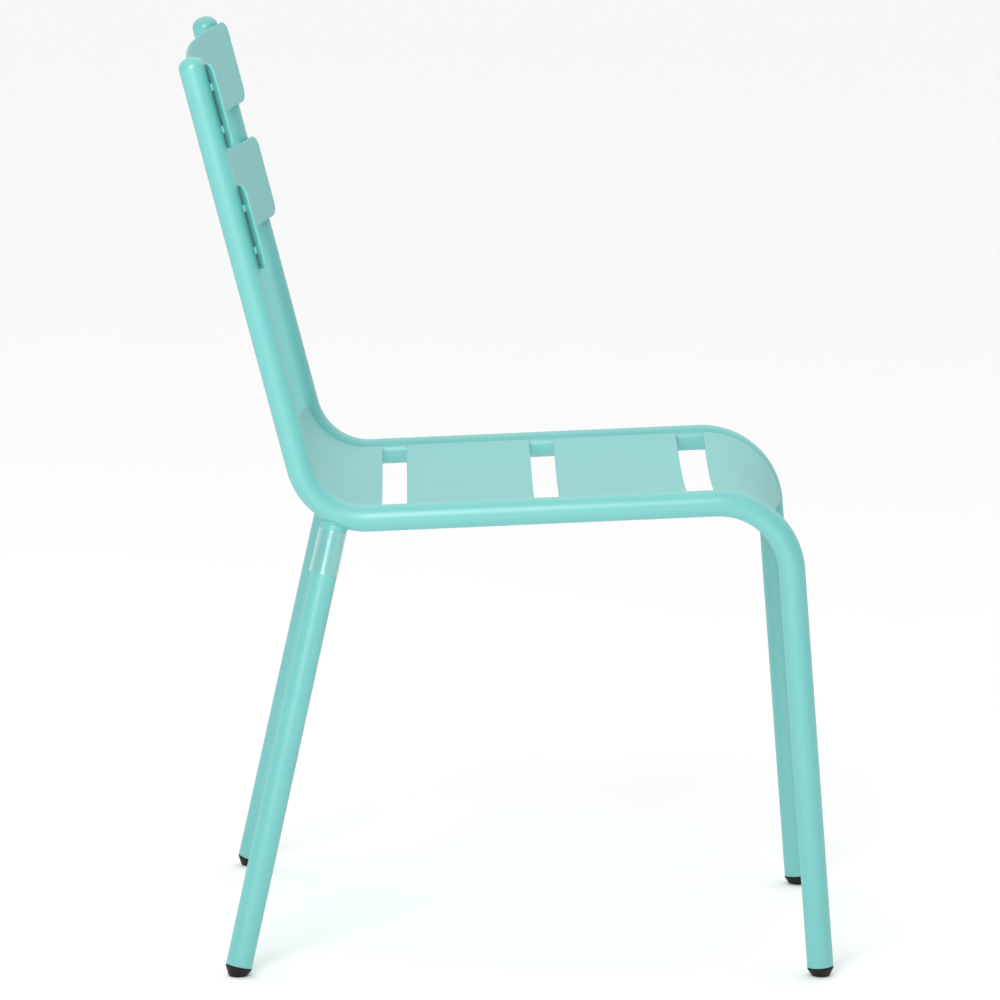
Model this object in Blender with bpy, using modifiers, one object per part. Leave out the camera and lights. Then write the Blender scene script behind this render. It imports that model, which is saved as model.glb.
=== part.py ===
"""Stacking chair: a welded frame of bent steel tube with curved sheet slats.

Metres, +Z up. The chair stands on Z = 0 and faces -Y, and its own right-hand side is at -X.
The side tube's centreline lies in a Y-Z plane. It is described by its length from the top of the
upright, and slats, caps, feet and welds are placed along it.
"""

from math import cos, pi, radians, sin, sqrt, tan

import bmesh
import bpy
from mathutils import Matrix, Vector

# Tube
TUBE_RADIUS = 0.0125
TUBE_WALL = 0.0015
TUBE_SIDES = 16
GAP = 0.0003  # clearance kept between pieces that touch on the real chair

# Side tube: upright, seat rail and front leg, seen from the side as (y, z)
HALF_SPACING = 0.2025
UPRIGHT_RAKE = radians(15.8)
RAIL_SLOPE = radians(3.6)
FRONT_LEG_LEAN = radians(5.6)
REAR_CORNER = Vector((0.1841, 0.4293))
RAIL_LENGTH = 0.4453  # between the corners where the straight runs would meet
UPRIGHT_TOP = 0.8545
REAR_BEND_RADIUS = 0.065
FRONT_BEND_RADIUS = 0.069
BEND_STEP = radians(11)

# Rear leg: straight, from the underside of the rear bend out and back to its foot
REAR_FOOT = Vector((0.2455, 0.2497, 0.0))
REAR_LEG_TOP_BEFORE = 0.0311  # where its axis passes the side tube, before the end of the rear bend
REAR_LEG_TOP_INSET = 0.0065  # of its axis there, inboard of the side tube's
REAR_LEG_START = 0.005  # of the tube itself, below that place

# Feet and caps
FOOT_HEIGHT = 0.0090
FOOT_COLLAR = 0.0015
FOOT_NOSE_RADIUS = 0.0035
FOOT_PLUG_LENGTH = 0.018
CAP_RISE = 0.0095
CAP_PLUG_LENGTH = 0.012
PLUG_RADIUS = TUBE_RADIUS - TUBE_WALL - 2 * GAP

# Sheet slats: every slat is dished towards its middle, a parabola or a little flatter
SHEET = 0.0025
BACK_HALF_WIDTH = 0.216
BACK_SLAT_HEIGHT = 0.0815
BACK_SLAT_PITCH = 0.1173
BACK_SLAT_START = 0.0003
BACK_END_STAND_OFF = 0.0209
BACK_DISH = 0.0305
BACK_DISH_POWER = 2.5
BACK_CORNER = 0.012
SEAT_DISH = 0.018
SEAT_DISH_POWER = 2.0
SEAT_CORNER = 0.004
SEAT_LIFT = 0.0077  # of a seat slat's upper face above the rail's centreline
REAR_SLAT_TOP_LIFT = 0.003
FRONT_SLAT_LOW_LIFT = 0.0105
SLAT_GAP = 0.024
FRONT_SLAT_GAP = 0.027
MIDDLE_SLAT = 0.1222
REAR_SLAT_OVERHANG = 0.0105  # of the rear slat's straight part past the rear bend

# Clear stacking sleeve round the top of each rear leg
SLEEVE_TOP = 0.019
SLEEVE_LENGTH = 0.041
SLEEVE_WALL = 0.0010

# Welds
LEG_WELD_RADIUS = 0.0016
BACK_WELD_RADIUS = 0.0016
BACK_WELD_LENGTH = 0.009
BACK_WELD_SIDE = 0.0060  # outboard of the tube's centreline
BACK_WELD_FRONT = 0.0136  # in front of it
SEAT_WELD_RADIUS = 0.0013
SEAT_WELD_LENGTH = 0.010
SEAT_WELD_SIDE = 0.0142  # inboard of the rail's centreline
SEAT_WELD_LIFT = 0.0013
WELD_PLACES = (0.27, 0.77)  # along a slat's height

MINT = (0.30, 0.73, 0.66, 1.0)
BLACK = (0.012, 0.012, 0.013, 1.0)
CLEAR = (0.80, 0.93, 0.91, 1.0)

SIDES = {"right": -1, "left": 1}


class Centreline:
    """Straight runs joined by arcs in a Y-Z plane, measured by length from their start."""

    def __init__(self, corners, radii):
        self.pieces = []  # start, heading, curvature, length
        start = corners[0]
        for i, corner in enumerate(corners[1:-1], 1):
            before = corner - corners[i - 1]
            after = corners[i + 1] - corner
            turn = before.angle_signed(after) * -1
            trim = radii[i - 1] * tan(abs(turn) / 2)
            arc_start = corner - before.normalized() * trim
            heading = heading_of(before)
            self.pieces.append((start, heading, 0.0, (arc_start - start).length))
            curvature = turn / abs(turn) / radii[i - 1]
            self.pieces.append((arc_start, heading, curvature, abs(turn) * radii[i - 1]))
            start = corner + after.normalized() * trim
        last = corners[-1] - start
        self.pieces.append((start, heading_of(last), 0.0, last.length))
        self.length = sum(piece[3] for piece in self.pieces)

    def ends(self, index):
        """Lengths at which a piece starts and ends."""
        before = sum(piece[3] for piece in self.pieces[:index])
        return before, before + self.pieces[index][3]

    def at(self, length):
        """(y, z) point and heading at a length from the start."""
        for start, heading, curvature, piece_length in self.pieces:
            if length <= piece_length or (start, heading) == self.pieces[-1][:2]:
                break
            length -= piece_length
        if curvature == 0:
            return start + length * Vector((cos(heading), sin(heading))), heading
        turned = heading + curvature * length
        across = Vector((sin(turned) - sin(heading), cos(heading) - cos(turned)))
        return start + across / curvature, turned

    def lengths(self):
        """Lengths of the points that a polyline along it needs."""
        found = [0.0]
        for _, _, curvature, piece_length in self.pieces:
            steps = max(1, round(abs(curvature) * piece_length / BEND_STEP))
            first = found[-1]
            found += [first + piece_length * (i + 1) / steps for i in range(steps)]
        return found


def heading_of(vector):
    return Vector((1, 0)).angle_signed(vector) * -1


def place(line, side, length, offset=0.0):
    """Point beside a side tube's centreline, and its direction of travel.

    side is X, and offset is towards the sitter: forwards of the upright, above the rail.
    """
    point, heading = line.at(length)
    point = point + offset * Vector((sin(heading), -cos(heading)))
    return Vector((side, *point)), Vector((0, cos(heading), sin(heading)))


def side_line():
    """Centreline of a side tube, from the top of the upright to the end above the front foot."""
    rail = Vector((-cos(RAIL_SLOPE), sin(RAIL_SLOPE)))
    front_corner = REAR_CORNER + RAIL_LENGTH * rail
    rise = UPRIGHT_TOP - REAR_CORNER.y
    top = REAR_CORNER + Vector((rise * tan(UPRIGHT_RAKE), rise))
    drop = front_corner.y - FOOT_HEIGHT
    foot = front_corner - Vector((drop * tan(FRONT_LEG_LEAN), drop))
    return Centreline([top, REAR_CORNER, front_corner, foot], (REAR_BEND_RADIUS, FRONT_BEND_RADIUS))


def material(name, colour, roughness, metallic=0.0, alpha=1.0):
    made = bpy.data.materials.new(name)
    made.use_nodes = True
    shader = made.node_tree.nodes["Principled BSDF"]
    shader.inputs["Base Color"].default_value = colour
    shader.inputs["Roughness"].default_value = roughness
    shader.inputs["Metallic"].default_value = metallic
    shader.inputs["Alpha"].default_value = alpha
    made.diffuse_color = (*colour[:3], alpha)
    return made


def collection(name):
    made = bpy.data.collections.new(name)
    bpy.context.scene.collection.children.link(made)
    return made


def add(name, data, finish, group):
    obj = bpy.data.objects.new(name, data)
    if finish:
        data.materials.append(finish)
    group.objects.link(obj)
    return obj


def swept(name, points, radius, sides, group, caps=False):
    """Round bar or open tube along points, as a mesh object."""
    curve = bpy.data.curves.new(name, "CURVE")
    curve.dimensions = "3D"
    curve.bevel_depth = radius
    curve.bevel_resolution = (sides - 4) // 2
    curve.use_fill_caps = caps
    spline = curve.splines.new("POLY")
    spline.points.add(len(points) - 1)
    for spline_point, point in zip(spline.points, points):
        spline_point.co = (*point, 1)
    guide = bpy.data.objects.new(name + "_guide", curve)
    group.objects.link(guide)
    graph = bpy.context.evaluated_depsgraph_get()
    mesh = bpy.data.meshes.new_from_object(guide.evaluated_get(graph))
    bpy.data.objects.remove(guide)
    shape = bmesh.new()
    shape.from_mesh(mesh)
    bmesh.ops.remove_doubles(shape, verts=shape.verts, dist=1e-6)
    shape.to_mesh(mesh)
    shape.free()
    mesh.name = name
    mesh.shade_smooth()
    mesh.set_sharp_from_angle(angle=radians(50))
    return add(name, mesh, None, group)


def hollow_tube(name, points, finish, group):
    obj = swept(name, points, TUBE_RADIUS, TUBE_SIDES, group)
    obj.data.materials.clear()
    obj.data.materials.append(finish)
    wall = obj.modifiers.new("wall", "SOLIDIFY")
    wall.thickness = TUBE_WALL
    wall.offset = -1
    return obj


def rod(name, middle, along, length, radius, finish, group):
    """Short weld bead: a bar with tapering ends."""
    mesh = bpy.data.meshes.new(name)
    shape = bmesh.new()
    bmesh.ops.create_uvsphere(shape, u_segments=8, v_segments=6, radius=radius)
    for vert in shape.verts:
        vert.co.z *= length / 2 / radius
    shape.to_mesh(mesh)
    shape.free()
    mesh.shade_smooth()
    obj = add(name, mesh, finish, group)
    obj.location = middle
    obj.rotation_euler = along.to_track_quat("Z", "X").to_euler()
    return obj


def turned(name, profile, end, up, finish, group, closed=False):
    """Turned piece from (radius, height) points, outer side from top to bottom, set at a tube's end."""
    mesh = bpy.data.meshes.new(name)
    shape = bmesh.new()
    verts = [shape.verts.new((radius, 0, height)) for radius, height in profile]
    for first, second in zip(verts, verts[1:] + verts[:1] if closed else verts[1:]):
        shape.edges.new((first, second))
    shape.to_mesh(mesh)
    shape.free()
    obj = add(name, mesh, finish, group)
    screw = obj.modifiers.new("turn", "SCREW")
    screw.steps = screw.render_steps = 24
    screw.use_merge_vertices = True
    screw.merge_threshold = 1e-5
    screw.use_smooth_shade = True
    obj.location = end
    obj.rotation_euler = up.to_track_quat("Z", "X").to_euler()
    return obj


def cut(obj, cutter):
    boolean = obj.modifiers.new("cut", "BOOLEAN")
    boolean.operation = "DIFFERENCE"
    boolean.object = cutter


def hide(cutter):
    cutter.hide_render = True
    cutter.display_type = "WIRE"
    return cutter


def slat_stations(half_width, corner, columns, corner_steps=4):
    """Places across a slat, each with how far its two long edges draw in for the round corners."""
    inner = half_width - corner
    turns = [pi / 2 * (i + 1) / corner_steps for i in range(corner_steps)]
    left = [(inner + corner * sin(turn), corner * (1 - cos(turn))) for turn in turns]
    right = [(-across, inset) for across, inset in reversed(left)]
    middle = [(inner * (2 * i / columns - 1), 0.0) for i in range(columns + 1)]
    return right + middle + left


def slat(name, line, span, half_width, stand_off, dish, power, corner, rows, finish, group):
    """Sheet slat between two lengths of the side tubes' centreline, dished towards its middle.

    stand_off is the height of its upper or front face at the tubes, at the start and the end of span,
    and half_width gives half its width for such a height.
    """
    widest = half_width(max(stand_off))
    stations = slat_stations(widest, corner, columns=12)
    start, end = span
    mesh = bpy.data.meshes.new(name)
    shape = bmesh.new()
    bmesh.ops.create_grid(shape, x_segments=len(stations) - 1, y_segments=rows, size=1)
    for vert in shape.verts:
        across, inset = stations[round((vert.co.x + 1) / 2 * (len(stations) - 1))]
        part = (vert.co.y + 1) / 2
        length = start + inset + part * (end - start - 2 * inset)
        blend = (length - start) / (end - start)
        at_tubes = stand_off[0] * (1 - blend) + stand_off[1] * blend
        offset = at_tubes - dish * (1 - abs(across / widest) ** power)
        vert.co, _ = place(line, across / widest * half_width(at_tubes), length, offset)
    bmesh.ops.recalc_face_normals(shape, faces=shape.faces)
    shape.normal_update()
    facing = place(line, 0, (start + end) / 2, 1)[0] - place(line, 0, (start + end) / 2, 0)[0]
    if sum((face.normal.dot(facing) for face in shape.faces)) < 0:
        bmesh.ops.reverse_faces(shape, faces=shape.faces)
    shape.to_mesh(mesh)
    shape.free()
    mesh.shade_smooth()
    obj = add(name, mesh, finish, group)
    sheet = obj.modifiers.new("sheet", "SOLIDIFY")
    sheet.thickness = SHEET
    sheet.offset = -1
    return obj


def back_half_width(_stand_off):
    return BACK_HALF_WIDTH


def seat_half_width(lift):
    """Half the width of a seat slat whose lower edge just clears the rails, at a lift of its upper face."""
    slope = SEAT_DISH * SEAT_DISH_POWER / HALF_SPACING
    clear = TUBE_RADIUS + 1.5 * GAP
    return HALF_SPACING - sqrt(clear**2 - (lift - SHEET) ** 2) - SHEET * slope


def foot_profile():
    nose = FOOT_HEIGHT + 0.006
    return (
        (0, FOOT_PLUG_LENGTH),
        (PLUG_RADIUS, FOOT_PLUG_LENGTH),
        (PLUG_RADIUS, -GAP),
        (TUBE_RADIUS, -GAP),
        (TUBE_RADIUS, -FOOT_COLLAR),
        (FOOT_NOSE_RADIUS, -nose),
        (0, -nose),
    )


def cap_profile(steps=6):
    turns = [pi / 2 * i / steps for i in range(steps + 1)]
    dome = [(TUBE_RADIUS * sin(turn), GAP + CAP_RISE * cos(turn)) for turn in turns]
    return (*dome, (PLUG_RADIUS, GAP), (PLUG_RADIUS, -CAP_PLUG_LENGTH), (0, -CAP_PLUG_LENGTH))


def rear_leg_axis(line, sign):
    """Where a rear leg's axis passes the side tube, its direction down, and its tube's lower end."""
    x = sign * (HALF_SPACING - REAR_LEG_TOP_INSET)
    top = place(line, x, line.ends(1)[1] - REAR_LEG_TOP_BEFORE)[0]
    foot = Vector((sign * REAR_FOOT.x, REAR_FOOT.y, REAR_FOOT.z))
    down = (foot - top).normalized()
    return top, down, foot - down * (FOOT_HEIGHT / -down.z)


def leg_weld_points(line, sign, count=24):
    """Points round a rear leg, where a bead touches both the leg and the underside of the side tube."""
    top, down, _ = rear_leg_axis(line, sign)
    inboard = Vector((-sign, 0, 0))
    first = (inboard - inboard.dot(down) * down).normalized()
    second = down.cross(first)
    around = TUBE_RADIUS + LEG_WELD_RADIUS + GAP
    bend_start, bend_end = line.ends(1)
    reach = 0.03
    steps = 200
    near = [bend_start + (bend_end + reach - bend_start) * i / steps for i in range(steps + 1)]
    centres = [place(line, sign * HALF_SPACING, length)[0] for length in near]
    points = []
    for i in range(count):
        turn = 2 * pi * i / count
        out = around * (cos(turn) * first + sin(turn) * second)
        low, high = 0.0, 0.05
        for _ in range(30):
            middle = (low + high) / 2
            spot = top + out + middle * down
            clear = min((spot - centre).length for centre in centres)
            low, high = (low, middle) if clear > around else (middle, high)
        if high > REAR_LEG_START:
            points.append(top + out + high * down)
    return points


def frame_pieces(line, mint, group, cutters):
    """Side tubes, rear legs and the welds between them."""
    lengths = line.lengths()
    for side, sign in SIDES.items():
        x = sign * HALF_SPACING
        path = [place(line, x, length)[0] for length in lengths]
        hollow_tube(f"side_tube_{side}", path, mint, group)

        saddle = swept(f"saddle_cutter_{side}", path, TUBE_RADIUS + 1.4 * GAP, 32, cutters, caps=True)
        hide(saddle)
        top, down, end = rear_leg_axis(line, sign)
        leg = hollow_tube(f"rear_leg_{side}", [top + REAR_LEG_START * down, end], mint, group)
        cut(leg, saddle)

        points = leg_weld_points(line, sign)
        weld = swept(f"rear_leg_weld_{side}", points, LEG_WELD_RADIUS, 6, group, caps=True)
        weld.data.materials.append(mint)


def ends_and_sleeves(line, finishes, group, cutters):
    """Caps, feet and stacking sleeves."""
    mint, black, clear = finishes
    floor = bpy.data.meshes.new("floor_cutter")
    shape = bmesh.new()
    bmesh.ops.create_cube(shape, size=1, matrix=Matrix.Translation((0, 0, -0.5)))
    shape.to_mesh(floor)
    shape.free()
    floor = hide(add("floor_cutter", floor, None, cutters))
    inner = TUBE_RADIUS + GAP
    outer = inner + SLEEVE_WALL
    sleeve = ((outer, 0), (outer, -SLEEVE_LENGTH), (inner, -SLEEVE_LENGTH), (inner, 0))
    for side, sign in SIDES.items():
        x = sign * HALF_SPACING
        top, along = place(line, x, 0)
        turned(f"upright_cap_{side}", cap_profile(), top, -along, mint, group)
        end, along = place(line, x, line.length)
        cut(turned(f"front_glide_{side}", foot_profile(), end, -along, black, group), floor)

        leg_top, down, end = rear_leg_axis(line, sign)
        cut(turned(f"rear_glide_{side}", foot_profile(), end, -down, black, group), floor)
        turned(
            f"stacking_sleeve_{side}", sleeve, leg_top + SLEEVE_TOP * down, -down, clear, group, True
        )


def slat_spans(line):
    """Start and end of every slat along the centreline, with its stand-off at each."""
    back = {}
    for i, name in enumerate(("upper", "lower")):
        start = BACK_SLAT_START + i * BACK_SLAT_PITCH
        back[name] = (start, start + BACK_SLAT_HEIGHT)
    rear_start, rear_end = line.ends(1)
    front_end = line.ends(3)[1]
    starts = [rear_end + REAR_SLAT_OVERHANG + SLAT_GAP]
    starts.append(starts[0] + MIDDLE_SLAT + SLAT_GAP)
    seat = {
        "rear": ((rear_start, rear_end + REAR_SLAT_OVERHANG), (REAR_SLAT_TOP_LIFT, SEAT_LIFT)),
        "mid_rear": ((starts[0], starts[0] + MIDDLE_SLAT), (SEAT_LIFT, SEAT_LIFT)),
        "mid_front": ((starts[1], starts[1] + MIDDLE_SLAT), (SEAT_LIFT, SEAT_LIFT)),
        "front": ((starts[1] + MIDDLE_SLAT + FRONT_SLAT_GAP, front_end), (SEAT_LIFT, FRONT_SLAT_LOW_LIFT)),
    }
    return back, seat


def slats_and_welds(line, mint, group):
    back, seat = slat_spans(line)
    for name, span in back.items():
        stand_off = (BACK_END_STAND_OFF, BACK_END_STAND_OFF)
        shape = (back_half_width, stand_off, BACK_DISH, BACK_DISH_POWER, BACK_CORNER)
        slat(f"back_slat_{name}", line, span, *shape, 1, mint, group)
    for name, (span, stand_off) in seat.items():
        rows = 8 if name in ("rear", "front") else 1
        shape = (seat_half_width, stand_off, SEAT_DISH, SEAT_DISH_POWER, SEAT_CORNER)
        slat(f"seat_slat_{name}", line, span, *shape, rows, mint, group)
    for side, sign in SIDES.items():
        for end, part in zip(("a", "b"), WELD_PLACES):
            for name, span in back.items():
                x = sign * (HALF_SPACING + BACK_WELD_SIDE)
                length = span[0] + part * (span[1] - span[0])
                middle, along = place(line, x, length, BACK_WELD_FRONT)
                size = (BACK_WELD_LENGTH, BACK_WELD_RADIUS)
                rod(f"weld_back_{name}_{side}_{end}", middle, along, *size, mint, group)
            for name, (span, stand_off) in seat.items():
                x = sign * (HALF_SPACING - SEAT_WELD_SIDE)
                length = span[0] + part * (span[1] - span[0])
                lower = stand_off[0] * (1 - part) + stand_off[1] * part - SEAT_LIFT
                middle, along = place(line, x, length, SEAT_WELD_LIFT + lower)
                size = (SEAT_WELD_LENGTH, SEAT_WELD_RADIUS)
                rod(f"weld_seat_{name}_{side}_{end}", middle, along, *size, mint, group)


def main():
    for obj in list(bpy.data.objects):
        bpy.data.objects.remove(obj)
    chair = collection("stacking_chair")
    cutters = collection("cutters")
    mint = material("mint_powder_coat", MINT, 0.38)
    black = material("black_plastic", BLACK, 0.5)
    clear = material("clear_plastic", CLEAR, 0.12, alpha=0.35)
    line = side_line()
    frame_pieces(line, mint, chair, cutters)
    ends_and_sleeves(line, (mint, black, clear), chair, cutters)
    slats_and_welds(line, mint, chair)


main()
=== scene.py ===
from math import ceil, cos, pi, radians, sin, sqrt, tan

import bmesh
import bpy
from mathutils import Matrix, Vector, noise


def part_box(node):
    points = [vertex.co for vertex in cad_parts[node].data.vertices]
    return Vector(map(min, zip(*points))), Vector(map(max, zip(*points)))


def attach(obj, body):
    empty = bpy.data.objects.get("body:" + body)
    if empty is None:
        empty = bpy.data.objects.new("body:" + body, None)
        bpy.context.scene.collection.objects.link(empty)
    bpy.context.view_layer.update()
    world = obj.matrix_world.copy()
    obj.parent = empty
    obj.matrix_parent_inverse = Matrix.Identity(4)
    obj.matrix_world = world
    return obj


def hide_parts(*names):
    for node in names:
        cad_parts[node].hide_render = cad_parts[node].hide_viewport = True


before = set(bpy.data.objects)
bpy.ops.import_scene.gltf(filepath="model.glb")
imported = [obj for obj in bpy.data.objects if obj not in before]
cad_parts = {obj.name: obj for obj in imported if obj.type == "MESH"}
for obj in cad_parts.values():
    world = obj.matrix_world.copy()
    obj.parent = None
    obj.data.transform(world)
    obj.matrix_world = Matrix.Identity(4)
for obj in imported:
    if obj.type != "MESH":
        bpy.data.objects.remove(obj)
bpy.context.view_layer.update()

# The chair faces -Y, stands on Z = 0, and its own right-hand side is at -X. All lengths are in metres.

# Bent tube
TUBE_RADIUS = 0.0125
TUBE_WALL = 0.0015
RIM_RADIUS = 0.0007  # rounding of a tube's cut end under its coat
UPRIGHT_RAKE = radians(15.8)
RAIL_SLOPE = radians(3.6)
FRONT_LEG_LEAN = radians(5.6)
RAIL_LENGTH = 0.4453  # between the corners where the straight runs would meet
REAR_BEND_RADIUS = 0.065
FRONT_BEND_RADIUS = 0.069
REAR_LEG_TOP_BEFORE = 0.0311  # before the rear bend's end, where the leg's axis passes the tube
REAR_LEG_TOP_INSET = 0.0065  # of its axis there, inboard of the side tube's
REAR_LEG_START = 0.005  # of the leg's tube itself, below that place
TUBE_SIDES = 72
BEND_STEP = radians(1.5)
STRAIGHT_STEP = 0.012
GAP = 0.0003  # between neighbouring pieces

# Cope at a rear leg's top
COPE_PAST_BEND = 0.03  # length of rail searched in front of the rear bend
COPE_STATIONS = 240  # along the side tube
COPE_LONGEST = 0.05
COPE_HALVINGS = 24
COPE_CROWDING = 1.5  # above 1, stations crowd towards the cope

# Sheet slats: height of the sitter's side above the tube's centreline, dished towards the middle
SHEET = 0.0025
EDGE_RADIUS = 0.0007  # of the rounding at a cut edge
BACK_HALF_WIDTH = 0.216
BACK_SLAT_HEIGHT = 0.0815
BACK_SLAT_PITCH = 0.1173
BACK_SLAT_START = 0.0003
BACK_END_STAND_OFF = 0.0209
BACK_DISH = 0.0305
BACK_DISH_POWER = 2.5  # 2 is a parabola; more is flatter in the middle
BACK_CORNER = 0.012
SEAT_DISH = 0.018
SEAT_DISH_POWER = 2.0
SEAT_CORNER = 0.004
SEAT_LIFT = 0.0077
REAR_SLAT_TOP_LIFT = 0.003
FRONT_SLAT_LOW_LIFT = 0.0105
SLAT_GAP = 0.024
FRONT_SLAT_GAP = 0.027
MIDDLE_SLAT = 0.1222
REAR_SLAT_OVERHANG = 0.0105
SLAT_COLUMNS = 72
SLAT_CORNER_STEPS = 10
SLAT_EDGE_STEPS = 5
SLAT_INNER_RINGS = 4  # between the corners' centres and the rounded edge
SLAT_MERGE = 1e-6

# Caps and feet, as heights from the end of their tube
PLUG_RADIUS = TUBE_RADIUS - TUBE_WALL - 2 * GAP
CAP_RISE = 0.0095
CAP_PLUG = 0.012
FOOT_PLUG = 0.018
FOOT_COLLAR = 0.0016
COLLAR_TOP_RADIUS = 0.0004
COLLAR_LOW_RADIUS = 0.0012
COLLAR_TURN = 38  # degrees of rounding before the nose
FOOT_BELOW = 0.016  # length of the foot before the floor trims it
FOOT_NOSE_RADIUS = 0.0040
FLOOR_SOFTNESS = 0.0007  # rounding where the foot meets the floor

# Clear sleeve round the rear leg
SLEEVE_TOP = 0.019
SLEEVE_LENGTH = 0.041
SLEEVE_WALL = 0.0010
SLEEVE_FLARE = 0.0006  # of its radius at the lower end

# Welds
LEG_WELD_RADIUS = 0.0010
LEG_WELD_PROUD = 0.45  # of that radius, from both tubes to the bead's middle
LEG_WELD_STATIONS = 240
LEG_WELD_TAPER = 24  # higher is blunter
BACK_WELD = {"radius": 0.0019, "length": 0.0080, "side": 0.0014, "front": 0.0130}
SEAT_WELD = {"radius": 0.0014, "length": 0.011, "side": -0.0142, "lift": 0.0013}
WELD_PLACES = (0.27, 0.77)  # parts of the way along a slat's span
SHORT_WELD_TAPER = 3
SHORT_WELD_STATIONS = 48
BEAD_SIDES = 14
RIPPLE = 0.0019  # spacing of the ripples along a bead
RIPPLE_HEIGHT = 0.10  # of a bead's radius
UNEVENNESS = 0.14  # of a bead's radius
UNEVEN_SCALE = 260  # per metre

# Colours and gloss
MINT = (0.127, 0.464, 0.442)
BLACK_DARK = (0.006, 0.005, 0.0052)
BLACK_LIGHT = (0.012, 0.010, 0.0105)
CLEAR_TINT = (0.990, 0.998, 0.997, 1)
CLEAR_GLOSS = (0.07, 0.65)  # its share, seen square on and at a glance
CLEAR_STEEPNESS = 4  # how late it rises towards a glance

# Camera
CAMERA_PLACE = Vector((-6.6102, 0.1101, 1.5029))
CAMERA_TURN = radians(-0.8986)  # from +X towards +Y
CAMERA_TILT = radians(-9.3095)
CAMERA_ROLL = radians(1.1989)
CAMERA_LENS = 248.73
SENSOR = 36.0
CLIP_END = 200

# Light, as radiance where white paper in the open would be about 1
KEY_PLACE = Vector((-2.80, 0.72, 1.85))
KEY_AIM = Vector((0, 0, 0.5))
KEY_SIZE = (1.3, 2.1)
KEY_RADIANCE = 7.2
WORLD_NEAR = 0.40  # on the camera's side
WORLD_FAR = 1.04  # behind the chair
WORLD_TOP = 0.52  # more than that overhead
WORLD_TURN = (-0.3, 0.7)  # X of the directions between which it goes from near to far
WORLD_CLIMB = (0.2, 0.9)  # Z of the directions between which it rises to overhead

# Stage
FLOOR_HALF = 60
FLOOR_DROP = 0.0002  # below the feet's soles
FLOOR_TONE = 0.93
FLOOR_ROUGHNESS = 0.9

# Meshes
SHARP_ANGLE = radians(38)  # an edge that turns more than this is shown as an edge
SAME_POINT = 1e-7
NO_LENGTH = 1e-8

SIDES = {"right": -1, "left": 1}
HALF_SPACING = sum(corner[0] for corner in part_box("side_tube_left")) / 2


# ---------------------------------------------------------------- centreline of a side tube


class Centreline:
    """Straight runs joined by arcs in a Y-Z plane, measured by length from their start."""

    def __init__(self, corners, radii):
        self.pieces = []  # start, heading, curvature, length
        start = corners[0]
        for i, corner in enumerate(corners[1:-1], 1):
            before = corner - corners[i - 1]
            after = corners[i + 1] - corner
            turn = -before.angle_signed(after)
            trim = radii[i - 1] * tan(abs(turn) / 2)
            arc_start = corner - before.normalized() * trim
            self.pieces.append((start, heading_of(before), 0.0, (arc_start - start).length))
            curvature = turn / abs(turn) / radii[i - 1]
            self.pieces.append((arc_start, heading_of(before), curvature, abs(turn) * radii[i - 1]))
            start = corner + after.normalized() * trim
        last = corners[-1] - start
        self.pieces.append((start, heading_of(last), 0.0, last.length))
        self.length = sum(piece[3] for piece in self.pieces)

    def ends(self, index):
        """Lengths at which a piece starts and ends."""
        before = sum(piece[3] for piece in self.pieces[:index])
        return before, before + self.pieces[index][3]

    def at(self, length):
        """(y, z) point and heading at a length from the start."""
        for start, heading, curvature, piece_length in self.pieces:
            if length <= piece_length or (start, heading) == self.pieces[-1][:2]:
                break
            length -= piece_length
        if curvature == 0:
            return start + length * Vector((cos(heading), sin(heading))), heading
        turned = heading + curvature * length
        chord = Vector((sin(turned) - sin(heading), cos(heading) - cos(turned)))
        return start + chord / curvature, turned

    def lengths(self):
        """Lengths of the stations that a smooth surface along it needs."""
        found = [0.0]
        for _, _, curvature, piece_length in self.pieces:
            steps = ceil(max(abs(curvature) * piece_length / BEND_STEP, piece_length / STRAIGHT_STEP))
            first = found[-1]
            found += [first + piece_length * (i + 1) / steps for i in range(steps)]
        return found


def heading_of(vector):
    """Angle of a (y, z) direction, from +Y towards +Z."""
    return -Vector((1, 0)).angle_signed(vector)


def place(line, side, length, offset=0.0):
    """Point beside a side tube's centreline, and its direction of travel.

    side is X, and offset is towards the sitter: forwards of the upright, above the rail.
    """
    point, heading = line.at(length)
    point = point + offset * Vector((sin(heading), -cos(heading)))
    return Vector((side, *point)), Vector((0, cos(heading), sin(heading)))


def side_line():
    """Centreline of a side tube, from its ends in the frame and the directions of its three runs."""
    low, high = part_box("side_tube_left")
    rake = Vector((sin(UPRIGHT_RAKE), cos(UPRIGHT_RAKE)))
    rail = Vector((-cos(RAIL_SLOPE), sin(RAIL_SLOPE)))
    lean = Vector((-sin(FRONT_LEG_LEAN), -cos(FRONT_LEG_LEAN)))
    top = Vector(high[1:]) - TUBE_RADIUS * Vector((rake.y, rake.x))
    foot = Vector(low[1:]) + TUBE_RADIUS * Vector((-lean.y, -lean.x))
    span = foot - top - RAIL_LENGTH * rail
    rear_corner = top - rake * (span.cross(lean) / -rake.cross(lean))
    front_corner = rear_corner + RAIL_LENGTH * rail
    return Centreline([top, rear_corner, front_corner, foot], (REAR_BEND_RADIUS, FRONT_BEND_RADIUS))


LINE = side_line()


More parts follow.
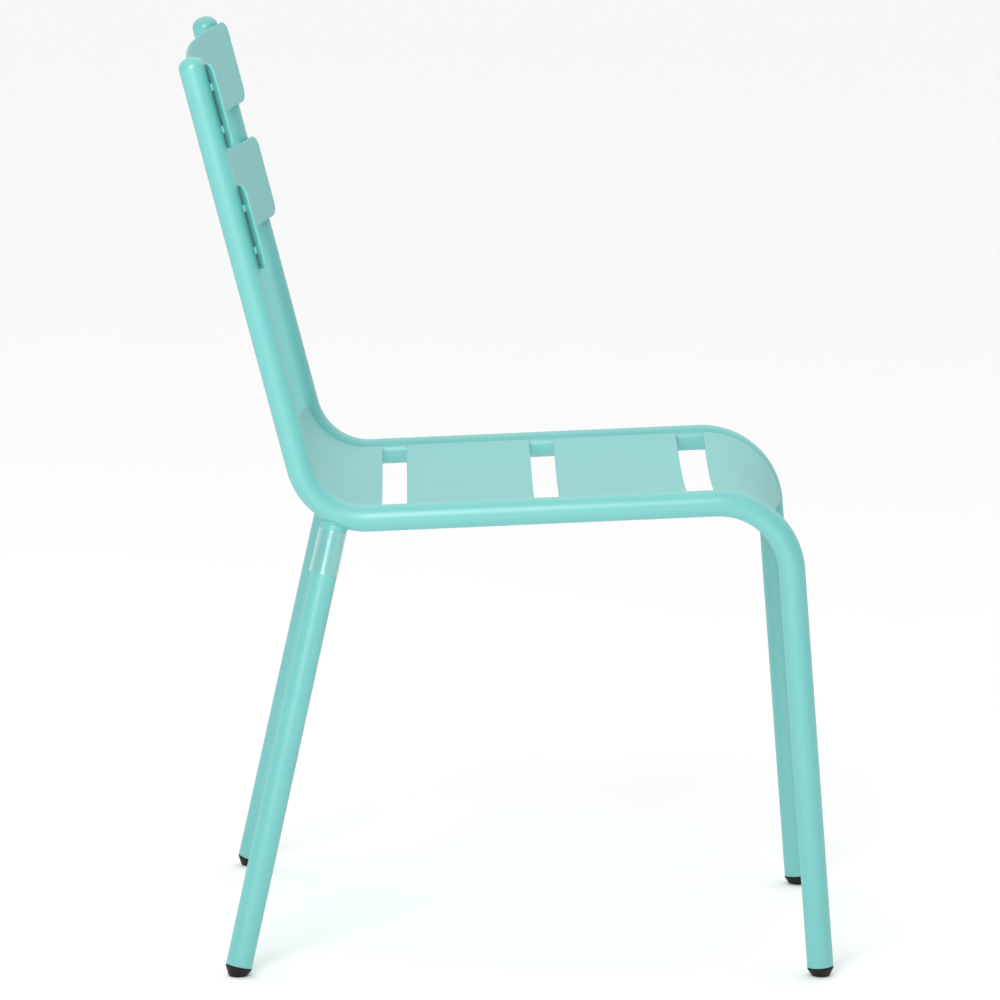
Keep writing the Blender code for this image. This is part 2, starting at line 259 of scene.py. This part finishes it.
class RearLeg:
    """Axis of a rear leg, and the shape of its coped top against the side tube."""

    def __init__(self, side):
        sign = SIDES[side]
        self.tube_x = sign * HALF_SPACING
        x = sign * (HALF_SPACING - REAR_LEG_TOP_INSET)
        self.top = place(LINE, x, LINE.ends(1)[1] - REAR_LEG_TOP_BEFORE)[0]
        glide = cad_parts[f"rear_glide_{side}"].data.vertices
        on_floor = [vert.co for vert in glide if vert.co.z < 1e-4]
        foot = sum(on_floor, Vector()) / len(on_floor)
        self.down = (foot - self.top).normalized()
        lowest_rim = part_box(f"rear_leg_{side}")[0][2]
        end_height = lowest_rim + TUBE_RADIUS * sqrt(1 - self.down.z**2)
        self.length = (self.top.z - end_height) / -self.down.z
        inboard = Vector((-sign, 0, 0))
        self.first = (inboard - inboard.dot(self.down) * self.down).normalized()
        self.second = self.down.cross(self.first)

    def ring(self, length, radius, sides=TUBE_SIDES):
        """Points round the axis, the first one inboard."""
        return circle(self.top + length * self.down, self.first, self.second, radius, sides)

    def cope(self, radius, clear, sides=TUBE_SIDES):
        """For each point round the axis, the length at which it is clear of the side tube.

        clear is the distance that it keeps from the side tube's centreline.
        """
        start, end = LINE.ends(1)
        run = end + COPE_PAST_BEND - start
        reach = [start + run * i / COPE_STATIONS for i in range(COPE_STATIONS + 1)]
        centres = [place(LINE, self.tube_x, length)[0] for length in reach]
        found = []
        for spot in self.ring(0, radius, sides):
            low, high = 0.0, COPE_LONGEST
            for _ in range(COPE_HALVINGS):
                middle = (low + high) / 2
                probe = spot + middle * self.down
                nearest = min((probe - centre).length_squared for centre in centres)
                low, high = (low, middle) if nearest > clear**2 else (middle, high)
            found.append(high)
        return found


# ---------------------------------------------------------------- meshes


def add(name, mesh, finish, slot, *nodes):
    """Shows a mesh as a piece that rides with the chair and stands for the nodes."""
    obj = bpy.data.objects.new(name, mesh)
    bpy.context.scene.collection.objects.link(obj)
    mesh.materials.append(finish)
    mesh.shade_smooth()
    mesh.set_sharp_from_angle(angle=SHARP_ANGLE)
    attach(obj, "root")
    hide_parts(*nodes)


def skin(name, rings, closed=False):
    """Closed surface through rings of points; closed joins the last ring to the first."""
    shape = bmesh.new()
    rows = [[shape.verts.new(point) for point in ring] for ring in rings]
    follow = rows[1:] + rows[:1] if closed else rows[1:]
    for row, after in zip(rows, follow):
        for i, corner in enumerate(row):
            j = (i + 1) % len(row)
            shape.faces.new((corner, row[j], after[j], after[i]))
    bmesh.ops.remove_doubles(shape, verts=shape.verts, dist=SAME_POINT)
    bmesh.ops.dissolve_degenerate(shape, edges=shape.edges, dist=NO_LENGTH)
    bmesh.ops.recalc_face_normals(shape, faces=shape.faces)
    mesh = bpy.data.meshes.new(name)
    shape.to_mesh(mesh)
    shape.free()
    return mesh


def circle(centre, first, second, radius, sides=TUBE_SIDES):
    """Points round a centre, in the plane of two unit directions."""
    turns = [2 * pi * i / sides for i in range(sides)]
    return [centre + radius * (cos(turn) * first + sin(turn) * second) for turn in turns]


def across(direction):
    """Two unit directions at right angles to a direction and to each other."""
    first = direction.orthogonal().normalized()
    return first, direction.cross(first).normalized()


def lathe(name, profile, end, up):
    """Surface of revolution from (radius, height) points, about an axis from a point upwards."""
    first, second = across(up)
    return skin(name, [circle(end + height * up, first, second, radius) for radius, height in profile])


def arc(centre, radius, start, stop, steps):
    """(radius, height) points along an arc of a profile, angles in degrees from outwards."""
    turns = [radians(start + (stop - start) * i / steps) for i in range(steps + 1)]
    return [(centre[0] + radius * cos(turn), centre[1] + radius * sin(turn)) for turn in turns]


def rim():
    """Rounded end of a tube's wall, from outside to inside, as (radius, distance past the end)."""
    outer = arc((TUBE_RADIUS - RIM_RADIUS, -RIM_RADIUS), RIM_RADIUS, 0, 90, 4)
    inner = arc((TUBE_RADIUS - TUBE_WALL + RIM_RADIUS, -RIM_RADIUS), RIM_RADIUS, 90, 180, 4)
    return outer + inner


def side_tube(side, finish):
    """Upright, seat rail and front leg in one hollow tube with rounded rims."""
    x = SIDES[side] * HALF_SPACING
    sideways = Vector((1, 0, 0))

    def ring(length, radius):
        point, along = place(LINE, x, length)
        return circle(point, sideways, along.cross(sideways), radius)

    stations = [length for length in LINE.lengths() if 0 < length < LINE.length - RIM_RADIUS]
    rings = [ring(length, TUBE_RADIUS) for length in stations]
    rings += [ring(LINE.length + past, radius) for radius, past in rim()]
    rings += [ring(length, TUBE_RADIUS - TUBE_WALL) for length in reversed(stations)]
    rings += [ring(0, TUBE_RADIUS - TUBE_WALL), ring(0, TUBE_RADIUS)]
    mesh = skin("side_tube", rings, True)
    add(f"side_tube_{side}_bent", mesh, finish, "mint_powder_coat", f"side_tube_{side}")


def rear_leg(side, finish):
    """Hollow straight leg whose top is coped to sit under the side tube."""
    leg = RearLeg(side)
    fade = 0.05  # the cope's shape dies away over this length
    steps = 16

    def wall(radius):
        starts = [max(length, REAR_LEG_START) for length in leg.cope(radius, TUBE_RADIUS + GAP)]
        rings = []
        for i in range(steps + 1):
            part = (i / steps) ** COPE_CROWDING
            spots = zip(leg.ring(0, radius), starts)
            rings.append([spot + (start + (fade - start) * part) * leg.down for spot, start in spots])
        run = leg.length - RIM_RADIUS - fade
        count = ceil(run / STRAIGHT_STEP)
        return rings + [leg.ring(fade + run * i / count, radius) for i in range(1, count)]

    end = [leg.ring(leg.length + past, radius) for radius, past in rim()]
    rings = wall(TUBE_RADIUS) + end + wall(TUBE_RADIUS - TUBE_WALL)[::-1]
    mesh = skin("rear_leg", rings, True)
    add(f"rear_leg_{side}_straight", mesh, finish, "mint_powder_coat", f"rear_leg_{side}")


def bead(path, radius, taper, seed):
    """Weld bead along a path: a round of metal with soft ripples, an uneven width and tapering ends."""
    rings = []
    travelled = 0.0
    last = len(path) - 1
    for i, point in enumerate(path):
        before, after = path[max(i - 1, 0)], path[min(i + 1, last)]
        along = (after - before).normalized()
        travelled += (point - before).length
        wave = 0.5 + 0.5 * cos(2 * pi * travelled / RIPPLE)
        uneven = noise.noise(Vector((travelled * UNEVEN_SCALE, seed, 0)))
        size = radius * (1 + RIPPLE_HEIGHT * (wave**2 - 0.5) + UNEVENNESS * uneven)
        size *= sqrt(1 - abs(2 * i / last - 1) ** taper)
        if rings:
            first = (first - first.dot(along) * along).normalized()
        else:
            first = along.orthogonal().normalized()
        rings.append(circle(point, first, along.cross(first), size, BEAD_SIDES))
    return skin("weld", rings)


def leg_weld(side, finish):
    """Bead round a rear leg, where it meets the underside of the side tube."""
    leg = RearLeg(side)
    out = TUBE_RADIUS + LEG_WELD_PROUD * LEG_WELD_RADIUS
    lengths = leg.cope(out, out, LEG_WELD_STATIONS)
    spots = zip(leg.ring(0, out, LEG_WELD_STATIONS), lengths)
    path = [spot + length * leg.down for spot, length in spots if length > REAR_LEG_START]
    mesh = bead(path, LEG_WELD_RADIUS, LEG_WELD_TAPER, SIDES[side])
    add(f"rear_leg_bead_{side}", mesh, finish, "mint_powder_coat", f"rear_leg_weld_{side}")


def short_bead(name, middle, along, radius, length, seed, finish, node):
    """Straight bead of a length, about its middle."""
    parts = [i / SHORT_WELD_STATIONS - 0.5 for i in range(SHORT_WELD_STATIONS + 1)]
    path = [middle + along * length * part for part in parts]
    add(name, bead(path, radius, SHORT_WELD_TAPER, seed), finish, "mint_powder_coat", node)


# ---------------------------------------------------------------- sheet slats


class Slat:
    """Dished sheet between two lengths of the side tubes' centreline.

    half_width gives half its width for a lift, so that its ends can follow the tubes.
    """

    def __init__(self, span, lifts, half_width, dish, power, corner, rows):
        self.span, self.lifts, self.half_width = span, lifts, half_width
        self.widest = half_width(max(lifts))
        self.dish, self.power, self.corner, self.rows = dish, power, corner, rows

    def middle(self, x, length):
        """Point on the sheet's middle surface."""
        blend = (length - self.span[0]) / (self.span[1] - self.span[0])
        lift = self.lifts[0] * (1 - blend) + self.lifts[1] * blend
        drop = SHEET / 2 + self.dish * (1 - abs(x / self.widest) ** self.power)
        return place(LINE, x / self.widest * self.half_width(lift), length, lift - drop)[0]

    def point(self, x, length, height):
        """Point at a height above the middle surface, towards the sitter."""
        step = 2e-4
        widthwise = self.middle(x + step, length) - self.middle(x - step, length)
        lengthwise = self.middle(x, length + step) - self.middle(x, length - step)
        return self.middle(x, length) + height * widthwise.cross(lengthwise).normalized()

    def outline(self, inset):
        """(x, length) points round the sheet, a distance in from its edge."""
        centre = sum(self.span) / 2
        long = self.widest - self.corner
        short = (self.span[1] - self.span[0]) / 2 - self.corner
        radius = self.corner - inset
        corners = [(long, short), (-long, short), (-long, -short), (long, -short)]
        found = []
        for i, (x, length) in enumerate(corners):
            for j in range(SLAT_CORNER_STEPS + 1):
                turn = pi / 2 * (i + j / SLAT_CORNER_STEPS)
                found.append((x + radius * cos(turn), centre + length + radius * sin(turn)))
            after = corners[(i + 1) % 4]
            steps = SLAT_COLUMNS if i % 2 == 0 else self.rows
            turn = pi / 2 * (i + 1)
            for j in range(1, steps):
                along_x = x + (after[0] - x) * j / steps + radius * cos(turn)
                along_length = length + (after[1] - length) * j / steps + radius * sin(turn)
                found.append((along_x, centre + along_length))
        return found

    def mesh(self):
        """Closed sheet with a cut edge, rounded at both faces, and round corners."""
        half = SHEET / 2
        levels = []  # inset and height, from inside the lower face, round the edge, to the upper face
        for i in range(SLAT_INNER_RINGS):
            levels.append((self.corner - (self.corner - EDGE_RADIUS) * i / SLAT_INNER_RINGS, -half))
        for centre, start in ((EDGE_RADIUS - half, -90), (half - EDGE_RADIUS, 0)):
            for i in range(SLAT_EDGE_STEPS + 1):
                turn = radians(start + 90 * i / SLAT_EDGE_STEPS)
                levels.append((EDGE_RADIUS * (1 - cos(turn)), centre + EDGE_RADIUS * sin(turn)))
        levels += [(inset, half) for inset, _ in reversed(levels[:SLAT_INNER_RINGS])]
        shape = bmesh.new()
        rows = []
        for inset, height in levels:
            ring = [self.point(x, length, height) for x, length in self.outline(inset)]
            rows.append([shape.verts.new(point) for point in ring])
        for row, after in zip(rows, rows[1:]):
            for i, corner in enumerate(row):
                j = (i + 1) % len(row)
                shape.faces.new((corner, row[j], after[j], after[i]))
        self.fill(shape, -half)
        self.fill(shape, half)
        bmesh.ops.remove_doubles(shape, verts=shape.verts, dist=SLAT_MERGE)
        bmesh.ops.recalc_face_normals(shape, faces=shape.faces)
        mesh = bpy.data.meshes.new("slat")
        shape.to_mesh(mesh)
        shape.free()
        return mesh

    def fill(self, shape, height):
        """Grid of faces inside the corners, on one face of the sheet."""
        long = self.widest - self.corner
        first = self.span[0] + self.corner
        run = self.span[1] - self.span[0] - 2 * self.corner
        columns = SLAT_COLUMNS
        grid = []
        for row in range(self.rows + 1):
            length = first + run * row / self.rows
            line = [self.point(long * (2 * i / columns - 1), length, height) for i in range(columns + 1)]
            grid.append([shape.verts.new(point) for point in line])
        for row, after in zip(grid, grid[1:]):
            for i in range(columns):
                shape.faces.new((row[i], row[i + 1], after[i + 1], after[i]))


def back_half_width(_lift):
    """Half the width of a back slat, the same at every lift."""
    return BACK_HALF_WIDTH


def seat_half_width(lift):
    """Half the width of a seat slat whose lower edge just clears the tubes, at its upper face's lift."""
    slope = SEAT_DISH * SEAT_DISH_POWER / HALF_SPACING
    clear = TUBE_RADIUS + 1.5 * GAP
    return HALF_SPACING - sqrt(clear**2 - (lift - SHEET) ** 2) - SHEET * slope


def all_slats():
    """Every slat by its node's name."""
    slats = {}
    for i, name in enumerate(("upper", "lower")):
        start = BACK_SLAT_START + i * BACK_SLAT_PITCH
        span = (start, start + BACK_SLAT_HEIGHT)
        lifts = (BACK_END_STAND_OFF, BACK_END_STAND_OFF)
        slats[f"back_slat_{name}"] = Slat(
            span, lifts, back_half_width, BACK_DISH, BACK_DISH_POWER, BACK_CORNER, 10
        )
    rear_start, rear_end = LINE.ends(1)
    first = rear_end + REAR_SLAT_OVERHANG + SLAT_GAP
    second = first + MIDDLE_SLAT + SLAT_GAP
    third = second + MIDDLE_SLAT + FRONT_SLAT_GAP
    level = (SEAT_LIFT, SEAT_LIFT)
    seat = {
        "rear": ((rear_start, rear_end + REAR_SLAT_OVERHANG), (REAR_SLAT_TOP_LIFT, SEAT_LIFT), 40),
        "mid_rear": ((first, first + MIDDLE_SLAT), level, 12),
        "mid_front": ((second, second + MIDDLE_SLAT), level, 12),
        "front": ((third, LINE.ends(3)[1]), (SEAT_LIFT, FRONT_SLAT_LOW_LIFT), 40),
    }
    for name, (span, lifts, rows) in seat.items():
        slats[f"seat_slat_{name}"] = Slat(
            span, lifts, seat_half_width, SEAT_DISH, SEAT_DISH_POWER, SEAT_CORNER, rows
        )
    return slats


def slats_and_welds(finish):
    """Every slat, and two beads at each of its ends."""
    for count, (name, slat) in enumerate(all_slats().items()):
        add(f"{name}_sheet", slat.mesh(), finish, "mint_powder_coat", name)
        back = name.startswith("back")
        weld = BACK_WELD if back else SEAT_WELD
        for side, sign in SIDES.items():
            x = sign * (HALF_SPACING + weld["side"])
            for end, part in zip("ab", WELD_PLACES):
                length = slat.span[0] + part * (slat.span[1] - slat.span[0])
                lower = slat.lifts[0] * (1 - part) + slat.lifts[1] * part - SEAT_LIFT
                offset = weld["front"] if back else weld["lift"] + lower
                middle, along = place(LINE, x, length, offset)
                label = name.replace("_slat", "")
                seed = 3.7 * count + 1.3 * sign + part
                bead_name, node = f"bead_{label}_{side}_{end}", f"weld_{label}_{side}_{end}"
                size = (weld["radius"], weld["length"])
                short_bead(bead_name, middle, along, *size, seed, finish, node)


# ---------------------------------------------------------------- caps, feet and sleeves


def upright_cap(side, finish):
    """Domed plug, flush with the tube."""
    end, along = place(LINE, SIDES[side] * HALF_SPACING, 0)
    steps = 24
    turns = [pi / 2 * i / steps for i in range(steps + 1)]
    dome = [(TUBE_RADIUS * sin(turn), (CAP_RISE + GAP) * cos(turn)) for turn in turns]
    stem = [(PLUG_RADIUS, 0), (PLUG_RADIUS, -CAP_PLUG), (0, -CAP_PLUG)]
    mesh = lathe("upright_cap", dome + stem, end, -along)
    add(f"upright_cap_{side}_domed", mesh, finish, "mint_powder_coat", f"upright_cap_{side}")


def foot(name, end, up, finish):
    """Push-in foot: a collar at the tube's end and a tapering nose, worn flat where it stands."""
    top, low = COLLAR_TOP_RADIUS, COLLAR_LOW_RADIUS
    collar = arc((TUBE_RADIUS - top, -GAP - top), top, 90, 0, 3)
    collar += arc((TUBE_RADIUS - low, -FOOT_COLLAR), low, 0, -COLLAR_TURN, 5)
    nose = []
    steps = 22
    top_radius, top_height = collar[-1]
    for i in range(1, steps + 1):
        part = i / steps
        radius = top_radius + (FOOT_NOSE_RADIUS - top_radius) * part
        nose.append((radius, top_height - (FOOT_BELOW - FOOT_COLLAR) * part))
    stem = [(0, FOOT_PLUG), (PLUG_RADIUS, FOOT_PLUG), (PLUG_RADIUS, -GAP)]
    mesh = lathe("foot", stem + collar + nose + [(0, nose[-1][1])], end, up)
    for vert in mesh.vertices:
        height = vert.co.z
        vert.co.z = (height + sqrt(height**2 + FLOOR_SOFTNESS**2)) / 2
    add(f"{name}_moulded", mesh, finish, "black_plastic", name)


def sleeve(side, finish):
    """Clear sleeve with rounded ends, a loose fit on the rear leg and slightly flared."""
    leg = RearLeg(side)
    half = SLEEVE_WALL / 2
    middle = TUBE_RADIUS + GAP + half
    steps = 20
    turns = [pi * i / 6 for i in range(7)]
    places = [i / steps for i in range(1, steps)]
    profile = [(middle + half * cos(turn), -half * sin(turn)) for turn in turns]  # outside to inside
    profile += [(middle - half, SLEEVE_LENGTH * part) for part in places]
    profile += [(middle - half * cos(turn), SLEEVE_LENGTH + half * sin(turn)) for turn in turns]
    profile += [(middle + half, SLEEVE_LENGTH * part) for part in reversed(places)]
    rings = []
    for radius, below in profile:
        flare = SLEEVE_FLARE * max(below / SLEEVE_LENGTH, 0) ** 2
        rings.append(leg.ring(SLEEVE_TOP + below, radius + flare))
    mesh = skin("sleeve", rings, True)
    add(f"stacking_sleeve_{side}_clear", mesh, finish, "clear_plastic", f"stacking_sleeve_{side}")


# ---------------------------------------------------------------- materials


class Finish:
    """A procedural material and its shader, which is Principled unless it is replaced."""

    def __init__(self, name):
        self.material = bpy.data.materials.new(name)
        self.material.use_nodes = True
        self.nodes = self.material.node_tree.nodes
        self.links = self.material.node_tree.links
        self.shader = self.nodes["Principled BSDF"]
        self.place = self.nodes.new("ShaderNodeTexCoord").outputs["Object"]

    def set(self, **values):
        """Sets the shader's sockets, named with underscores for spaces."""
        for name, value in values.items():
            self.shader.inputs[name.replace("_", " ")].default_value = value

    def noise(self, size, detail):
        """Noise whose blotches are about a size across, from 0 to 1."""
        node = self.nodes.new("ShaderNodeTexNoise")
        node.inputs["Scale"].default_value = 1 / size
        node.inputs["Detail"].default_value = detail
        self.links.new(self.place, node.inputs["Vector"])
        return node.outputs["Fac"]

    def spread(self, value, low, high, start=0.25, stop=0.75):
        """Maps a value to a range, from the middle half of a noise if nothing else is said."""
        node = self.nodes.new("ShaderNodeMapRange")
        node.inputs["From Min"].default_value = start
        node.inputs["From Max"].default_value = stop
        node.inputs["To Min"].default_value = low
        node.inputs["To Max"].default_value = high
        self.links.new(value, node.inputs["Value"])
        return node.outputs["Result"]

    def shade(self, value, dark, light):
        """Colour between two, by a value."""
        node = self.nodes.new("ShaderNodeMix")
        node.data_type = "RGBA"
        node.inputs["A"].default_value = (*dark, 1)
        node.inputs["B"].default_value = (*light, 1)
        self.links.new(value, node.inputs["Factor"])
        colour = "Base Color" if "Base Color" in self.shader.inputs else "Color"
        self.links.new(node.outputs["Result"], self.shader.inputs[colour])

    def rough(self, value, low, high):
        """Roughness between two, by the middle half of a noise."""
        self.links.new(self.spread(value, low, high), self.shader.inputs["Roughness"])

    def bump(self, *layers):
        """Height in metres for each (noise, depth) layer, one bump on the next."""
        normal = None
        for value, depth in layers:
            node = self.nodes.new("ShaderNodeBump")
            node.inputs["Distance"].default_value = depth
            self.links.new(value, node.inputs["Height"])
            if normal:
                self.links.new(normal, node.inputs["Normal"])
            normal = node.outputs["Normal"]
        self.links.new(normal, self.shader.inputs["Normal"])


def scaled(colour, factor):
    """Colour with each channel multiplied, none past 1."""
    return tuple(min(channel * factor, 1.0) for channel in colour)


def powder_coat():
    """Mint powder coat: satin, with a fine orange peel and a slight drift of tone."""
    made = Finish("mint_powder_coat")
    drift = made.spread(made.noise(0.045, 3), 0, 1)
    made.shade(drift, scaled(MINT, 0.985), scaled(MINT, 1.015))
    satin = made.spread(made.noise(0.0025, 2), 0.34, 0.40)
    # Duller at a glancing view, so that the softbox's reflection doesn't burn out the seat
    glance = made.nodes.new("ShaderNodeLayerWeight")
    glance.inputs["Blend"].default_value = 0.5
    duller = made.spread(glance.outputs["Facing"], 0, 0.12, 0.60, 0.86)
    total = made.nodes.new("ShaderNodeMath")
    made.links.new(satin, total.inputs[0])
    made.links.new(duller, total.inputs[1])
    made.links.new(total.outputs["Value"], made.shader.inputs["Roughness"])
    orange_peel = (made.noise(0.0011, 1), 0.000012)
    grain = (made.noise(0.00035, 1), 0.000004)
    made.bump(orange_peel, grain)
    made.set(IOR=1.5, Specular_IOR_Level=1.0)
    return made.material


def black_plastic():
    """Moulded black plastic with a fine spark-eroded texture."""
    made = Finish("black_plastic")
    made.shade(made.noise(0.004, 3), BLACK_DARK, BLACK_LIGHT)
    made.rough(made.noise(0.0012, 2), 0.42, 0.56)
    made.bump((made.noise(0.0005, 2), 0.00003))
    made.set(Specular_IOR_Level=0.25)
    return made.material


def clear_plastic():
    """Thin clear plastic: what is behind it shows through, under a gloss that grows at its edges."""
    made = Finish("clear_plastic")
    nodes, links = made.nodes, made.links
    nodes.remove(made.shader)
    gloss = made.shader = nodes.new("ShaderNodeBsdfGlossy")
    made.shade(made.noise(0.02, 2), (0.93, 0.97, 0.97), (1, 1, 1))
    made.rough(made.noise(0.003, 2), 0.19, 0.25)
    made.bump((made.noise(0.008, 1), 0.00008))
    through = nodes.new("ShaderNodeBsdfTransparent")
    through.inputs["Color"].default_value = CLEAR_TINT
    edge = nodes.new("ShaderNodeLayerWeight")
    edge.inputs["Blend"].default_value = 0.5
    steep = nodes.new("ShaderNodeMath")
    steep.operation = "POWER"
    links.new(edge.outputs["Facing"], steep.inputs[0])
    steep.inputs[1].default_value = CLEAR_STEEPNESS
    mix = nodes.new("ShaderNodeMixShader")
    share = made.spread(steep.outputs["Value"], *CLEAR_GLOSS, 0, 1)
    links.new(share, mix.inputs["Fac"])
    links.new(through.outputs["BSDF"], mix.inputs[1])
    links.new(gloss.outputs["BSDF"], mix.inputs[2])
    links.new(mix.outputs["Shader"], nodes["Material Output"].inputs["Surface"])
    return made.material


# ---------------------------------------------------------------- stage


def camera():
    """Camera at its place, turned, tilted and rolled."""
    data = bpy.data.cameras.new("camera")
    data.lens = CAMERA_LENS
    data.sensor_width = SENSOR
    data.clip_end = CLIP_END
    flat = cos(CAMERA_TILT)
    ahead = Vector((flat * cos(CAMERA_TURN), flat * sin(CAMERA_TURN), sin(CAMERA_TILT)))
    right = ahead.cross(Vector((0, 0, 1))).normalized()
    up = right.cross(ahead)
    rolled_right = cos(CAMERA_ROLL) * right + sin(CAMERA_ROLL) * up
    rolled_up = cos(CAMERA_ROLL) * up - sin(CAMERA_ROLL) * right
    turn = Matrix((rolled_right, rolled_up, -ahead)).transposed().to_4x4()
    obj = bpy.data.objects.new("camera", data)
    obj.matrix_world = Matrix.Translation(CAMERA_PLACE) @ turn
    bpy.context.scene.collection.objects.link(obj)
    bpy.context.scene.camera = obj


def softbox():
    """Large soft key light on the camera's side."""
    data = bpy.data.lights.new("key", "AREA")
    data.shape = "RECTANGLE"
    data.size, data.size_y = KEY_SIZE
    data.energy = KEY_RADIANCE * pi * KEY_SIZE[0] * KEY_SIZE[1]
    obj = bpy.data.objects.new("key", data)
    obj.location = KEY_PLACE
    obj.rotation_euler = (KEY_AIM - KEY_PLACE).to_track_quat("-Z", "Y").to_euler()
    obj.visible_camera = False
    bpy.context.scene.collection.objects.link(obj)


def surround():
    """White to look at. As a light, it is brighter behind the chair and overhead."""
    world = bpy.data.worlds.new("surround")
    world.use_nodes = True
    nodes, links = world.node_tree.nodes, world.node_tree.links
    direction = nodes.new("ShaderNodeTexCoord").outputs["Generated"]
    split = nodes.new("ShaderNodeSeparateXYZ")
    links.new(direction, split.inputs[0])

    def ramp(value, span, low, high):
        node = nodes.new("ShaderNodeMapRange")
        node.interpolation_type = "SMOOTHSTEP"
        for name, number in zip(("From Min", "From Max", "To Min", "To Max"), (*span, low, high)):
            node.inputs[name].default_value = number
        links.new(value, node.inputs["Value"])
        return node.outputs["Result"]

    total = nodes.new("ShaderNodeMath")
    links.new(ramp(split.outputs["X"], WORLD_TURN, WORLD_NEAR, WORLD_FAR), total.inputs[0])
    links.new(ramp(split.outputs["Z"], WORLD_CLIMB, 0, WORLD_TOP), total.inputs[1])
    seen = nodes.new("ShaderNodeMix")
    links.new(nodes.new("ShaderNodeLightPath").outputs["Is Camera Ray"], seen.inputs["Factor"])
    links.new(total.outputs["Value"], seen.inputs["A"])
    seen.inputs["B"].default_value = 1.0
    links.new(seen.outputs["Result"], nodes["Background"].inputs["Strength"])
    nodes["Background"].inputs["Color"].default_value = (1, 1, 1, 1)
    bpy.context.scene.world = world


def stage():
    """Plain pale floor under a white surround, lit by one softbox."""
    shape = bmesh.new()
    bmesh.ops.create_grid(shape, x_segments=4, y_segments=4, size=FLOOR_HALF)
    mesh = bpy.data.meshes.new("floor")
    shape.to_mesh(mesh)
    shape.free()
    floor = bpy.data.objects.new("floor", mesh)
    floor.location.z = -FLOOR_DROP
    pale = bpy.data.materials.new("pale_floor")
    pale.use_nodes = True
    shader = pale.node_tree.nodes["Principled BSDF"]
    shader.inputs["Base Color"].default_value = (FLOOR_TONE, FLOOR_TONE, FLOOR_TONE, 1)
    shader.inputs["Roughness"].default_value = FLOOR_ROUGHNESS
    mesh.materials.append(pale)
    bpy.context.scene.collection.objects.link(floor)
    surround()
    softbox()
    bpy.context.scene.view_settings.view_transform = "Standard"


def main():
    """Builds every piece, the stage and the camera."""
    mint = powder_coat()
    black = black_plastic()
    clear = clear_plastic()
    for side, sign in SIDES.items():
        side_tube(side, mint)
        rear_leg(side, mint)
        leg_weld(side, mint)
        upright_cap(side, mint)
        end, along = place(LINE, sign * HALF_SPACING, LINE.length)
        foot(f"front_glide_{side}", end, -along, black)
        leg = RearLeg(side)
        foot(f"rear_glide_{side}", leg.top + leg.length * leg.down, -leg.down, black)
        sleeve(side, clear)
    slats_and_welds(mint)
    stage()
    camera()


main()
